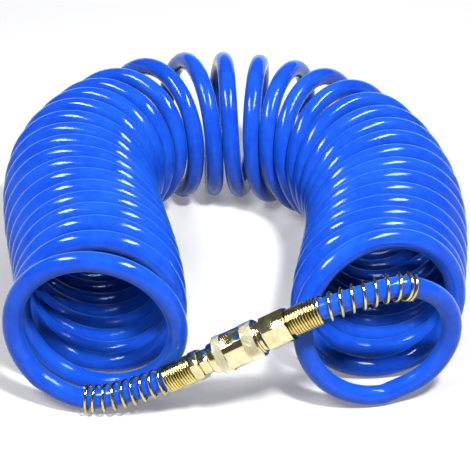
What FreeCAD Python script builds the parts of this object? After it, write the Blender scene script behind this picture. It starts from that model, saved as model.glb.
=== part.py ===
"""Coiled air hose, millimetres, +Z up, standing on z = 0.

One polyurethane hose is wound as a right-handed coil, and the coil is bent into a horseshoe that is
open to the front (-Y). Its two ends meet there: a plug on the left end is held in a quick coupling
socket on the right end. The coupling is modelled upright, from the plug's nut at 0 to the far end of
the socket's hexagon, and is then laid in place between the legs of the horseshoe.
"""
import FreeCAD, Part
import math
import os

from FreeCAD import Matrix, Placement, Vector

# Hose
HOSE_DIAMETER = 11.4             # 12 in size, drawn slimmer so that the close turns stay apart
HOSE_BORE = 8.0
FLOOR_FLAT = 0.2                # depth of the flats on which the turns stand

# Coil: whole turns are at the top of a ring, and half turns are at the floor
COIL_START = (-79.9, -153.4)    # where the coil's axis begins, at turn -0.5
COIL_HEADING = 79.4             # degrees from +X, at turn -0.5
AXIS_STEPS = 40                 # steps per turn in which the coil's axis is laid out
FIRST_STEP = 5                  # the hose joins and leaves the coil at these steps
LAST_STEP = 1400
# (turn, value) pairs, joined by smooth steps: millimetres, then degrees per turn, then slopes
RADIUS = ((-0.5, 48.5), (1.5, 45.8), (17, 45.29), (33, 45.7), (34.75, 48.5))
SPACING = ((-0.5, 16.4), (0.5, 19.8), (2, 11.01), (6, 13.88), (10, 11.91), (13, 7.27), (16, 11.15),
           (19, 16.08), (22, 12.39), (25, 11.16), (30, 12.98), (33, 13.09), (34, 8.6), (34.75, 11.9))
SWING = ((-0.5, -10), (2, -3.1), (5, -0.68), (8, 1.6), (10, 4.03), (12, 11.08), (14, 8.46), (16, 24.64),
         (18, 9.01), (20, 13.63), (22, 14.47), (24, 4.59), (26, 5.24), (29, 1.69), (32, -0.02),
         (34.75, -19))
YAW = ((0, -0.07), (1, -0.128), (3, -0.222), (8, -0.394), (11, -0.365), (13, -0.058), (15, 0.106),
       (17, 0.165), (19, 0.091), (21, 0.025), (23, 0.059), (25, 0.157), (28, 0.246), (32, 0.23),
       (34, 0.2), (35, 0.18))
LEAN = ((0, -0.03), (1, 0.038), (3, 0.094), (8, 0.12), (11, 0.164), (13, 0.178), (15, 0.205),
        (17, 0.001), (19, -0.047), (21, -0.268), (23, -0.347), (25, -0.242), (28, -0.106), (32, -0.02),
        (34, -0.07), (35, -0.24))

# Coupling in its place: where the hose meets the plug's nut, and the way from there to the socket
COUPLING_START = (-20.7, -152.4, 35.7)
COUPLING_AXIS = (0.866, -0.014, 0.5)
COUPLING_ROLL = 52.0            # degrees, turns a corner of the hexagons to the front

# Hose between the coil and the coupling, as points on its middle line
STRAIGHT_END = 18.6             # straight run inside the ferrule, at each end
PLUG_TAIL = ((-55.3, -150.9, 17.1), (-75.3, -149.7, 9.9), (-94.3, -147.1, 9.4))
SOCKET_TAIL = ((116.7, -134.5, 16.0), (130.6, -133.1, 44.0), (123.7, -136.9, 72.5), (100.2, -145.6, 89.3),
               (73.7, -151.5, 85.3))

# Spring guards
GUARD_RADIUS = 7.75             # middle line of the wire
GUARD_WIRE = 1.05
CLOSE_TURNS = 11.0
CLOSE_PITCH = 1.6
OPEN_TURNS = 8.0
PLUG_OPEN_PITCH = 6.2
SOCKET_OPEN_PITCH = 6.5
END_TURNS = 1.25                # closer again at the free end
END_PITCH = 2.3

# Clearances
SEAT_GAP = 0.05
RUN_GAP = 0.1
SPRING_GAP = 0.3

# Ferrules, under the close turns of the guards
FERRULE_WALL = 0.8
FERRULE_LENGTH = 18.2

# Plug
NUT_ACROSS = 17.0
NUT_LENGTH = 5.5
STEM_DIAMETER = 10.0
PLUG_HEX_ACROSS = 14.0
PLUG_HEX_LENGTH = 5.7
HEX_CHAMFER = 0.9
BARB_LENGTH = 16.0
BARB_SHANK = 7.2
BARB_RIDGES = 4
BARB_TIP = 6.6
WATERWAY = 5.5
PLUG_NOSE = 12.0
PLUG_NOSE_LENGTH = 13.0
PLUG_TIP = 9.2
PLUG_TIP_LENGTH = 6.8
TIP_CHAMFER = 0.6

# Locking balls
BALL_COUNT = 6
BALL_DIAMETER = 3.5
BALL_PLACE = 9.7                # from the socket's front face

# Socket body
SOCKET_NOSE = 18.2
NOSE_ROUND = 1.9
SPRING_SEAT = 16.6
FLANGE_LENGTH = 1.6
FLANGE_SHOWS = 1.0              # how far the flange stands out behind the sleeve
NECK_DIAMETER = 17.0
NECK_LENGTH = 1.8
THREAD_DIAMETER = 13.4
THREAD_LENGTH = 7.5
CHAMBER = 12.0
SEAT_DEPTH = 0.5                # the valve seat lies this far in front of the plug's tip

# Front ring that keeps the sleeve on
RING_WIDTH = 1.2
RING_DEPTH = 0.5
RING_OUTER = 20.0

# Sleeve
SLEEVE_DIAMETER = 23.0
SLEEVE_LENGTH = 26.6
SLEEVE_FRONT = 5.3              # from the socket's front face
FRONT_BAND = 6.2
REAR_BAND = 8.2
FLATS_ACROSS = 21.4
FLAT_COUNT = 6
SLEEVE_CHAMFER = 0.7
FRONT_RECESS = 20.4
LAND_LENGTH = 5.8
SLEEVE_CHAMBER = 19.6
SLEEVE_TRAVEL = 3.9
VENT_HOLE = 1.3

# Packing round the plug's tip
PACKING_START = 0.8             # behind the plug's nose
PACKING_WIDTH = 2.8
PACKING_OUTER = 13.7

# Sealing washer between the socket body and the rear body
WASHER_THICKNESS = 1.4

# Rear body, with the large hexagon
REAR_HEX_ACROSS = 19.0
REAR_HEX_LENGTH = 15.2
REAR_BORE = 10.5
REAR_BORE_DEPTH = 9.0           # past the hexagon's front face

# Valve
POPPET_NOSE = 7.8
POPPET_NOSE_LENGTH = 3.1
POPPET_HEAD = 9.8
POPPET_HEAD_LENGTH = 2.2
POPPET_SLOT = 1.6
VALVE_STEM = 3.0
VALVE_SEAL_OUTER = 10.8
VALVE_SEAL_WIDTH = 1.2
GUIDE_THICKNESS = 1.4
GUIDE_PLACE = 2.9               # past the front face of the large hexagon
GUIDE_PORTS = 3
GUIDE_PORT = 2.0

# Springs inside the coupling
SLEEVE_SPRING_WIRE = 1.0
SLEEVE_SPRING_TURNS = 5.0
VALVE_SPRING_WIRE = 0.8
VALVE_SPRING_RADIUS = 3.6
VALVE_SPRING_TURNS = 5.0

# Places along the coupling's axis that follow from the sizes
PLUG_HEX_END = NUT_LENGTH + PLUG_HEX_LENGTH
SOCKET_FRONT = PLUG_HEX_END + SEAT_GAP
NOSE_END = SOCKET_FRONT + PLUG_NOSE_LENGTH
TIP_END = NOSE_END + PLUG_TIP_LENGTH
SLEEVE_START = SOCKET_FRONT + SLEEVE_FRONT
SLEEVE_END = SLEEVE_START + SLEEVE_LENGTH
BALLS_AT = SOCKET_FRONT + BALL_PLACE
LAND_START = BALLS_AT + BALL_DIAMETER / 2 - SLEEVE_TRAVEL
LAND_END = LAND_START + LAND_LENGTH
RING_START = LAND_START - RUN_GAP - RING_WIDTH
FLANGE_END = SLEEVE_END + FLANGE_SHOWS
FLANGE_START = FLANGE_END - FLANGE_LENGTH
NECK_END = FLANGE_END + NECK_LENGTH
REAR_HEX_START = NECK_END + WASHER_THICKNESS
COUPLING_LENGTH = REAR_HEX_START + REAR_HEX_LENGTH
THREAD_START = REAR_HEX_START - THREAD_LENGTH
CHAMBER_START = TIP_END - SEAT_DEPTH
HEAD_START = TIP_END + SEAT_GAP + POPPET_NOSE_LENGTH
HEAD_END = HEAD_START + POPPET_HEAD_LENGTH
GUIDE_START = REAR_HEX_START + GUIDE_PLACE
GUIDE_END = GUIDE_START + GUIDE_THICKNESS
BALL_CIRCLE = SOCKET_NOSE / 2 - BALL_DIAMETER / 2


# Hose and wires

def smooth(table, turn):
    """Value of a (turn, value) table at one turn."""
    if turn <= table[0][0]:
        return table[0][1]
    for (start, low), (end, high) in zip(table, table[1:]):
        if turn < end:
            share = (turn - start) / (end - start)
            return low + (high - low) * share * share * (3 - 2 * share)
    return table[-1][1]


def coil_points():
    """Points on the hose's middle line, one at each step from turn -0.5 on."""
    x, y = COIL_START
    heading = math.radians(COIL_HEADING)
    points = []
    step = 1 / AXIS_STEPS
    for index in range(LAST_STEP + 2):
        turn = index * step - 0.5
        radius = smooth(RADIUS, turn)
        swing = math.radians(smooth(SWING, turn))
        ahead = Vector(math.cos(heading), math.sin(heading), 0)
        left = Vector(-ahead.y, ahead.x, 0)
        across = radius * math.sin(2 * math.pi * turn)
        rise = radius * math.cos(2 * math.pi * turn)
        slant = across * smooth(YAW, turn) + rise * smooth(LEAN, turn)
        height = radius + HOSE_DIAMETER / 2 - FLOOR_FLAT + rise
        points.append(Vector(x, y, height) - left * across + ahead * slant)
        advance = (smooth(SPACING, turn) + abs(swing) * radius) * step
        middle = heading - swing * step / 2
        x += advance * math.cos(middle)
        y += advance * math.sin(middle)
        heading -= swing * step
    return points


def directions(points):
    """Direction at each inner point, along the circle through it and its neighbours."""
    found = []
    for before, point, after in zip(points, points[1:], points[2:]):
        come = point - before
        go = after - point
        found.append((come * go.dot(go) + go * come.dot(come)).normalize())
    return found


def arc(start, end, direction):
    """Arc from start to end that leaves along a direction, or the line if it runs straight."""
    chord = end - start
    ahead = chord.dot(direction)
    side = direction * chord.Length - chord * (ahead / chord.Length)
    if side.Length < 1e-4 * chord.Length:
        return Part.LineSegment(start, end).toShape()
    quarter = math.acos(max(-1.0, min(1.0, ahead / chord.Length))) / 2
    middle = (start + end) * 0.5 + side.normalize() * (chord.Length / 2 * math.tan(quarter))
    return Part.Arc(start, middle, end).toShape()


def biarc(start, along, end, onward):
    """Two arcs from start to end that meet in line and keep both end directions."""
    chord = end - start
    across = chord.dot(along + onward)
    spread = 2 * (1 - along.dot(onward))
    reach = chord.dot(chord) / (2 * across)
    if spread > 1e-9:
        reach = (math.sqrt(across * across + spread * chord.dot(chord)) - across) / spread
    joint = (start + along * reach + end - onward * reach) * 0.5
    middle = end - onward * reach - start - along * reach
    return [arc(start, joint, along), arc(joint, end, middle.normalize())]


def curve(points, along):
    """Edges of the biarcs through points with given directions."""
    edges = []
    for index in range(len(points) - 1):
        edges += biarc(points[index], along[index], points[index + 1], along[index + 1])
    return edges


def tube(edges, diameter):
    """Solid of a round section carried along the edges."""
    start = edges[0].valueAt(edges[0].FirstParameter)
    along = edges[0].tangentAt(edges[0].FirstParameter)
    section = Part.Wire(Part.makeCircle(diameter / 2, start, along))
    return Part.Wire(edges).makePipeShell([section], True, False)


def samples(edges, gap):
    """Points along the edges, at most about one gap apart."""
    points = []
    for edge in edges:
        count = max(2, math.ceil(edge.Length / gap))
        step = edge.Length / count
        points += [edge.valueAt(edge.getParameterByLength(index * step)) for index in range(count)]
    return points


def least_gap(points, diameter, skip):
    """Least room between two parts of one tube, on points more than skip apart along it."""
    least = math.inf
    for index, point in enumerate(points):
        for other in points[index + skip:]:
            if abs(other.z - point.z) < least and abs(other.x - point.x) < least:
                least = min(least, point.distanceToPoint(other))
    return least - diameter


def hose_route():
    """Edges of the hose's middle line, from the plug over the coil to the socket."""
    axis = Vector(*COUPLING_AXIS).normalize()
    plug_end = Vector(*COUPLING_START)
    socket_end = plug_end + axis * COUPLING_LENGTH
    coil = coil_points()
    picked = [FIRST_STEP]
    picked += range(AXIS_STEPS // 4, LAST_STEP, AXIS_STEPS // 4)
    picked.append(LAST_STEP)
    plug_bend = plug_end - axis * STRAIGHT_END
    socket_bend = socket_end + axis * STRAIGHT_END
    before = [plug_bend] + [Vector(*point) for point in PLUG_TAIL]
    after = [Vector(*point) for point in SOCKET_TAIL] + [socket_bend]
    points = before + [coil[index] for index in picked] + after
    along = [axis * -1]
    along += directions(before + [coil[FIRST_STEP]])
    along += [(coil[index + 1] - coil[index - 1]).normalize() for index in picked]
    along += directions([coil[LAST_STEP]] + after)
    along.append(axis * -1)
    first = Part.LineSegment(plug_end, plug_bend).toShape()
    last = Part.LineSegment(socket_bend, socket_end).toShape()
    return [first] + curve(points, along) + [last]


def hose(route):
    """The hose with its bore, cut flat where its turns stand on the floor."""
    body = tube(route, HOSE_DIAMETER)
    bore = tube(route, HOSE_BORE)
    length = sum(edge.Length for edge in route)
    section = math.pi * HOSE_DIAMETER ** 2 / 4
    print("hose length", round(length, 1), "volume ratio", round(body.Volume / (length * section), 5))
    gap = HOSE_DIAMETER / 4
    skip = math.ceil(HOSE_DIAMETER * 5 / gap)
    print("hose least gap", round(least_gap(samples(route, gap), HOSE_DIAMETER, skip), 2))
    size = body.BoundBox
    floor = Part.makeBox(size.XLength, size.YLength, HOSE_DIAMETER,
                         Vector(size.XMin, size.YMin, -HOSE_DIAMETER))
    return body.cut(floor).cut(bore).Solids[0]


def winding(place, turns, travel, radius, wire, label):
    """Wire wound round a line: place(way) gives its point and frame, travel(turn) the way along it."""
    count = round(turns * 4)

    def point(quarter):
        turn = quarter / 4
        middle, side, up = place(travel(turn))
        angle = 2 * math.pi * turn
        return middle + side * (radius * math.cos(angle)) + up * (radius * math.sin(angle))

    nodes = [point(quarter) for quarter in range(count + 1)]
    near = 0.01
    along = [(point(quarter + near) - point(quarter - near)).normalize() for quarter in range(count + 1)]
    edges = curve(nodes, along)
    skip = math.ceil(math.pi * radius / wire)
    print(label, "least gap", round(least_gap(samples(edges, wire), wire, skip), 2))
    return tube(edges, wire)


def guard(route, backward, open_pitch, label):
    """Spring guard: close turns over the ferrule, open turns over the hose, and a closer end."""
    lengths = [edge.Length for edge in route]

    def place(way):
        rest = sum(lengths) - way if backward else way
        for edge, length in zip(route, lengths):
            if rest <= length:
                break
            rest -= length
        parameter = edge.getParameterByLength(rest)
        along = edge.tangentAt(parameter) * (-1 if backward else 1)
        side = along.cross(Vector(0, 0, 1)).normalize()
        return edge.valueAt(parameter), side, side.cross(along)

    def travel(turn):
        way = SPRING_GAP + GUARD_WIRE / 2 + min(turn, CLOSE_TURNS) * CLOSE_PITCH
        way += min(max(turn - CLOSE_TURNS, 0), OPEN_TURNS) * open_pitch
        return way + max(turn - CLOSE_TURNS - OPEN_TURNS, 0) * END_PITCH

    turns = CLOSE_TURNS + OPEN_TURNS + END_TURNS
    return winding(place, turns, travel, GUARD_RADIUS, GUARD_WIRE, label)


def straight_spring(start, end, turns, radius, wire, label):
    """Compression spring upright between two heights."""
    first = start + SPRING_GAP + wire / 2
    last = end - SPRING_GAP - wire / 2

    def place(way):
        return Vector(0, 0, way), Vector(1, 0, 0), Vector(0, 1, 0)

    def travel(turn):
        return first + (last - first) * turn / turns

    return winding(place, turns, travel, radius, wire, label)


# Turned and hexagonal pieces, upright on the Z axis

def turned(profile):
    """Solid of revolution of (radius, height) corners."""
    corners = [Vector(radius, 0, height) for radius, height in profile]
    face = Part.Face(Part.makePolygon(corners + corners[:1]))
    return face.revolve(Vector(0, 0, 0), Vector(0, 0, 1), 360)


def rod(diameter, start, end):
    """Plain cylinder between two heights."""
    return Part.makeCylinder(diameter / 2, end - start, Vector(0, 0, start))


def hexagon(across, start, end):
    """Hexagonal prism with its corners chamfered at both ends."""
    corner = across / math.sqrt(3)
    ring = [Vector(corner * math.cos(math.radians(60 * side)), corner * math.sin(math.radians(60 * side)),
                   start) for side in range(6)]
    prism = Part.Face(Part.makePolygon(ring + ring[:1])).extrude(Vector(0, 0, end - start))
    chamfer = math.tan(math.radians(30)) * HEX_CHAMFER
    rim = corner - HEX_CHAMFER
    bound = turned(((0, start), (rim, start), (corner, start + chamfer), (corner, end - chamfer),
                    (rim, end), (0, end)))
    return prism.common(bound)


def barb(start, step):
    """Barbed tail from a face at start, its ridges facing back to it; step is 1 upward, -1 downward."""
    shank = BARB_SHANK / 2
    crest = HOSE_BORE / 2 - SEAT_GAP
    pitch = BARB_LENGTH / (BARB_RIDGES + 0.5)
    corners = [(0, start), (shank, start)]
    for ridge in range(BARB_RIDGES):
        foot = start + step * pitch * (ridge + 0.5)
        corners += [(shank, foot), (crest, foot), (shank, foot + step * pitch * 0.9)]
    end = start + step * BARB_LENGTH
    corners += [(BARB_TIP / 2, end), (0, end)]
    return turned(corners)


def plug_nut():
    return hexagon(NUT_ACROSS, 0, NUT_LENGTH).cut(rod(STEM_DIAMETER + 2 * SEAT_GAP, 0, NUT_LENGTH))


def plug_body():
    """Plug with its hexagon, nose, ball groove, tip and barbed tail."""
    nose = PLUG_NOSE / 2
    tip = PLUG_TIP / 2
    ball = BALL_DIAMETER / 2
    floor = BALL_CIRCLE - ball - RUN_GAP
    half_groove = ball * 0.9
    front = turned(((0, PLUG_HEX_END), (nose, PLUG_HEX_END), (nose, BALLS_AT - half_groove),
                    (floor, BALLS_AT - half_groove * 0.6), (floor, BALLS_AT + half_groove * 0.6),
                    (nose, BALLS_AT + half_groove), (nose, NOSE_END - TIP_CHAMFER),
                    (nose - TIP_CHAMFER, NOSE_END), (tip, NOSE_END), (tip, TIP_END - TIP_CHAMFER),
                    (tip - TIP_CHAMFER, TIP_END), (0, TIP_END)))
    body = hexagon(PLUG_HEX_ACROSS, NUT_LENGTH, PLUG_HEX_END).fuse(front)
    body = body.fuse(rod(STEM_DIAMETER, 0, NUT_LENGTH)).fuse(barb(0, -1))
    return body.cut(rod(WATERWAY, -BARB_LENGTH, TIP_END)).removeSplitter()


def plug_packing():
    inner = PLUG_TIP / 2 + SEAT_GAP
    outer = PACKING_OUTER / 2 - SEAT_GAP
    start = NOSE_END + PACKING_START
    lip = PACKING_WIDTH / 4
    end = start + PACKING_WIDTH
    return turned(((inner, start), (outer, start), (outer, end), (inner + lip, end),
                   (inner, end - lip)))


def socket_body():
    """Socket body: nose, ring groove, spring seat, flange and neck, bored for the plug and the valve."""
    nose = SOCKET_NOSE / 2
    groove = nose - RING_DEPTH
    seat = SPRING_SEAT / 2
    neck = NECK_DIAMETER / 2
    flange = SLEEVE_CHAMBER / 2 - RUN_GAP
    outer = [(nose, SOCKET_FRONT + NOSE_ROUND), (nose, RING_START), (groove, RING_START),
             (groove, RING_START + RING_WIDTH), (nose, RING_START + RING_WIDTH), (nose, LAND_END),
             (seat, LAND_END), (seat, FLANGE_START), (flange, FLANGE_START), (flange, FLANGE_END),
             (neck, FLANGE_END), (neck, NECK_END)]
    bore = PLUG_NOSE / 2 + SEAT_GAP
    throat = PLUG_TIP / 2 + RUN_GAP
    packing = PACKING_OUTER / 2
    packing_start = NOSE_END + PACKING_START
    packing_end = packing_start + PACKING_WIDTH
    chamber = CHAMBER / 2
    thread = THREAD_DIAMETER / 2 + SEAT_GAP
    inner = [(thread, NECK_END), (thread, THREAD_START - SEAT_GAP), (chamber, THREAD_START - SEAT_GAP),
             (chamber, CHAMBER_START), (throat, CHAMBER_START), (throat, packing_end),
             (packing, packing_end), (packing, packing_start), (throat, packing_start),
             (throat, NOSE_END + RUN_GAP), (bore, NOSE_END + RUN_GAP), (bore, SOCKET_FRONT)]
    front = (nose - NOSE_ROUND, SOCKET_FRONT)
    body = turned([front] + outer + inner)
    rounded = Vector(nose - NOSE_ROUND, 0, SOCKET_FRONT + NOSE_ROUND)
    swell = Part.makeTorus(rounded.x, NOSE_ROUND, Vector(0, 0, rounded.z))
    body = body.fuse(swell.cut(rod(2 * rounded.x, SOCKET_FRONT, rounded.z + NOSE_ROUND)))
    for number in range(BALL_COUNT):
        body = body.cut(radial_hole(BALL_DIAMETER + 2 * RUN_GAP, BALLS_AT, 360 * number / BALL_COUNT))
    return body.removeSplitter()


def radial_hole(diameter, height, angle):
    """Cutter for a hole that runs out from the axis at one height and angle."""
    way = Vector(math.cos(math.radians(angle)), math.sin(math.radians(angle)), 0)
    return Part.makeCylinder(diameter / 2, SLEEVE_DIAMETER, Vector(0, 0, height), way)


def lock_balls():
    balls = []
    for number in range(BALL_COUNT):
        angle = 2 * math.pi * number / BALL_COUNT
        centre = Vector(BALL_CIRCLE * math.cos(angle), BALL_CIRCLE * math.sin(angle), BALLS_AT)
        balls.append(Part.makeSphere(BALL_DIAMETER / 2, centre))
    return Part.makeCompound(balls)


def sleeve():
    """Sleeve with plain bands at both ends, flats between them, and its steps inside."""
    outer = SLEEVE_DIAMETER / 2
    recess = FRONT_RECESS / 2
    land = SOCKET_NOSE / 2 + SEAT_GAP
    chamber = SLEEVE_CHAMBER / 2
    rim = outer - SLEEVE_CHAMFER
    body = turned(((recess, SLEEVE_START), (rim, SLEEVE_START), (outer, SLEEVE_START + SLEEVE_CHAMFER),
                   (outer, SLEEVE_END - SLEEVE_CHAMFER), (rim, SLEEVE_END), (chamber, SLEEVE_END),
                   (chamber, LAND_END), (land, LAND_END), (land, LAND_START), (recess, LAND_START)))
    start = SLEEVE_START + FRONT_BAND
    length = SLEEVE_LENGTH - FRONT_BAND - REAR_BAND
    for side in range(FLAT_COUNT):
        flat = Part.makeBox(SLEEVE_DIAMETER, SLEEVE_DIAMETER, length,
                            Vector(FLATS_ACROSS / 2, -SLEEVE_DIAMETER / 2, start))
        flat.rotate(Vector(0, 0, 0), Vector(0, 0, 1), (side + 0.5) * 360 / FLAT_COUNT)
        body = body.cut(flat)
    return body.cut(radial_hole(VENT_HOLE, SLEEVE_END - REAR_BAND / 2, 0))


def sleeve_front_ring():
    inner = SOCKET_NOSE / 2 - RING_DEPTH + SEAT_GAP
    start = RING_START + SEAT_GAP
    end = RING_START + RING_WIDTH - SEAT_GAP
    return turned(((inner, start), (RING_OUTER / 2, start), (RING_OUTER / 2, end), (inner, end)))


def sleeve_spring():
    radius = (SLEEVE_CHAMBER + SPRING_SEAT) / 4
    return straight_spring(LAND_END, FLANGE_START, SLEEVE_SPRING_TURNS, radius, SLEEVE_SPRING_WIRE,
                           "sleeve spring")


def seal_washer():
    inner = THREAD_DIAMETER + 2 * SEAT_GAP
    return rod(NECK_DIAMETER, NECK_END, REAR_HEX_START).cut(rod(inner, NECK_END, REAR_HEX_START))


def socket_rear_body():
    """Rear body: spigot into the socket body, large hexagon, bore for the valve and barbed tail."""
    bore_end = REAR_HEX_START + REAR_BORE_DEPTH
    cone = (REAR_BORE - WATERWAY) / 2 / math.sqrt(3)
    body = hexagon(REAR_HEX_ACROSS, REAR_HEX_START, COUPLING_LENGTH)
    body = body.fuse(rod(THREAD_DIAMETER, THREAD_START, REAR_HEX_START)).fuse(barb(COUPLING_LENGTH, 1))
    bore = turned(((0, THREAD_START), (REAR_BORE / 2, THREAD_START), (REAR_BORE / 2, bore_end),
                   (WATERWAY / 2, bore_end + cone), (WATERWAY / 2, COUPLING_LENGTH + BARB_LENGTH),
                   (0, COUPLING_LENGTH + BARB_LENGTH)))
    return body.cut(bore).removeSplitter()


def valve_poppet():
    """Poppet: slotted nose that meets the plug's tip, head and stem."""
    start = TIP_END + SEAT_GAP
    nose = rod(POPPET_NOSE, start, HEAD_START)
    slot_end = HEAD_START - VALVE_SEAL_WIDTH
    slot = Part.makeBox(POPPET_NOSE, POPPET_SLOT, slot_end - start,
                        Vector(-POPPET_NOSE / 2, -POPPET_SLOT / 2, start))
    crossing = slot.copy()
    crossing.rotate(Vector(0, 0, 0), Vector(0, 0, 1), 90)
    body = nose.cut(slot).cut(crossing).fuse(rod(POPPET_HEAD, HEAD_START, HEAD_END))
    return body.fuse(rod(VALVE_STEM, HEAD_END, GUIDE_END + VALVE_STEM / 2)).removeSplitter()


def valve_seal():
    start = HEAD_START - VALVE_SEAL_WIDTH
    inner = POPPET_NOSE + 2 * SEAT_GAP
    return rod(VALVE_SEAL_OUTER, start, HEAD_START).cut(rod(inner, start, HEAD_START))


def valve_spring():
    return straight_spring(HEAD_END, GUIDE_START, VALVE_SPRING_TURNS, VALVE_SPRING_RADIUS,
                           VALVE_SPRING_WIRE, "valve spring")


def valve_guide():
    """Disc that carries the valve's stem, with ports for the air."""
    disc = rod(REAR_BORE - 2 * SEAT_GAP, GUIDE_START, GUIDE_END)
    disc = disc.cut(rod(VALVE_STEM + 2 * SEAT_GAP, GUIDE_START, GUIDE_END))
    middle = (REAR_BORE + VALVE_STEM) / 4
    for number in range(GUIDE_PORTS):
        angle = 2 * math.pi * number / GUIDE_PORTS
        centre = Vector(middle * math.cos(angle), middle * math.sin(angle), GUIDE_START)
        disc = disc.cut(Part.makeCylinder(GUIDE_PORT / 2, GUIDE_THICKNESS, centre))
    return disc


def ferrule(start):
    inner = HOSE_DIAMETER + 2 * SEAT_GAP
    end = start + FERRULE_LENGTH
    return rod(inner + 2 * FERRULE_WALL, start, end).cut(rod(inner, start, end))


def coupling_place():
    """Placement that lays the upright coupling between the two ends of the hose."""
    axis = Vector(*COUPLING_AXIS).normalize()
    up = (Vector(0, 0, 1) - axis * axis.z).normalize()
    front = axis.cross(up)
    roll = math.radians(COUPLING_ROLL)
    first = up * math.cos(roll) + front * math.sin(roll)
    second = axis.cross(first)
    start = Vector(*COUPLING_START)
    return Placement(Matrix(first.x, second.x, axis.x, start.x, first.y, second.y, axis.y, start.y,
                            first.z, second.z, axis.z, start.z, 0, 0, 0, 1))


def coupling_pieces():
    """Every piece of the coupling, by name, still upright."""
    return {
        "plug_ferrule": ferrule(-FERRULE_LENGTH),
        "plug_nut": plug_nut(),
        "plug_body": plug_body(),
        "plug_packing": plug_packing(),
        "socket_body": socket_body(),
        "lock_balls": lock_balls(),
        "sleeve_front_ring": sleeve_front_ring(),
        "sleeve": sleeve(),
        "sleeve_spring": sleeve_spring(),
        "seal_washer": seal_washer(),
        "socket_rear_body": socket_rear_body(),
        "valve_poppet": valve_poppet(),
        "valve_seal": valve_seal(),
        "valve_spring": valve_spring(),
        "valve_guide": valve_guide(),
        "socket_ferrule": ferrule(COUPLING_LENGTH),
    }


def main():
    os.makedirs("parts", exist_ok=True)
    route = hose_route()
    pieces = {"hose": hose(route)}
    pieces["plug_spring_guard"] = guard(route, False, PLUG_OPEN_PITCH, "plug guard")
    pieces["socket_spring_guard"] = guard(route, True, SOCKET_OPEN_PITCH, "socket guard")
    place = coupling_place()
    for name, shape in coupling_pieces().items():
        shape.Placement = place.multiply(shape.Placement)
        pieces[name] = shape
    for name, shape in pieces.items():
        print(name, shape.isValid(), len(shape.Solids), round(shape.Volume, 1))
        shape.exportStep("parts/" + name + ".step")
    box = Part.makeCompound(list(pieces.values())).optimalBoundingBox()
    print("low corner", round(box.XMin, 2), round(box.YMin, 2), round(box.ZMin, 2))
    print("high corner", round(box.XMax, 2), round(box.YMax, 2), round(box.ZMax, 2))


main()
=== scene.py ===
"""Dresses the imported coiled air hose: camera, studio, hose, spring guards and quick coupling.

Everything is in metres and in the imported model's own frame. The coupling is modelled upright on the Z
axis, from the plug's nut at 0 to the far end of the socket's large hexagon, and then laid in place.
"""

import logging
import math
from bisect import bisect_right
from dataclasses import dataclass
from enum import Enum
from typing import Callable, Iterable, Sequence

import bmesh
import bpy
from mathutils import Matrix, Vector


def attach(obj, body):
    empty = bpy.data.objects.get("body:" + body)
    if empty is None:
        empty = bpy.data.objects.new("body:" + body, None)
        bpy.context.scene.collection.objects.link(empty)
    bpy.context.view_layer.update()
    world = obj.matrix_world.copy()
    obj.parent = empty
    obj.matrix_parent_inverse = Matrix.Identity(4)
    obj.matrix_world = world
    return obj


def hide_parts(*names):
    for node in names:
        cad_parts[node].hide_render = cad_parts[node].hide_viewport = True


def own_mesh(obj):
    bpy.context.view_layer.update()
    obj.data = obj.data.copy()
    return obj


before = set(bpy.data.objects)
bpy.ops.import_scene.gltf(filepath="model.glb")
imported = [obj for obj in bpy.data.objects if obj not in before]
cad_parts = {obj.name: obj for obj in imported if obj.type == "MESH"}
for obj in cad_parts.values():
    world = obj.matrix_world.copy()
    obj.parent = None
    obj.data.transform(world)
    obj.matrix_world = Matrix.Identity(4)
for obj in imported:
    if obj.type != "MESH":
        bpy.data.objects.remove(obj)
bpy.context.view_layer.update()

LOG = logging.getLogger("coiled_hose")
MM = 0.001
Pair = tuple[float, float]
Triple = tuple[float, float, float]
Table = tuple[Pair, ...]
Colour = Triple

WHITE: Colour = (1.0, 1.0, 1.0)
BLACK: Colour = (0.0, 0.0, 0.0)
NONE_TO_ALL: Pair = (0.0, 1.0)


class Body(Enum):
    """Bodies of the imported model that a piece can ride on."""
    HOSE = "hose_and_fittings"
    SLIDER = "sleeve_slider"
    SLEEVE = "sleeve"
    VALVE = "valve"


class Slot(Enum):
    """Material slots of the record."""
    HOSE = "hose"
    PLATED = "plated_steel"
    WIRE = "guard_wire"
    BRIGHT = "bright_steel"
    BRASS = "brass"
    SEAL = "seal"


# Shader building blocks

NODE_SPACING = 190


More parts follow.
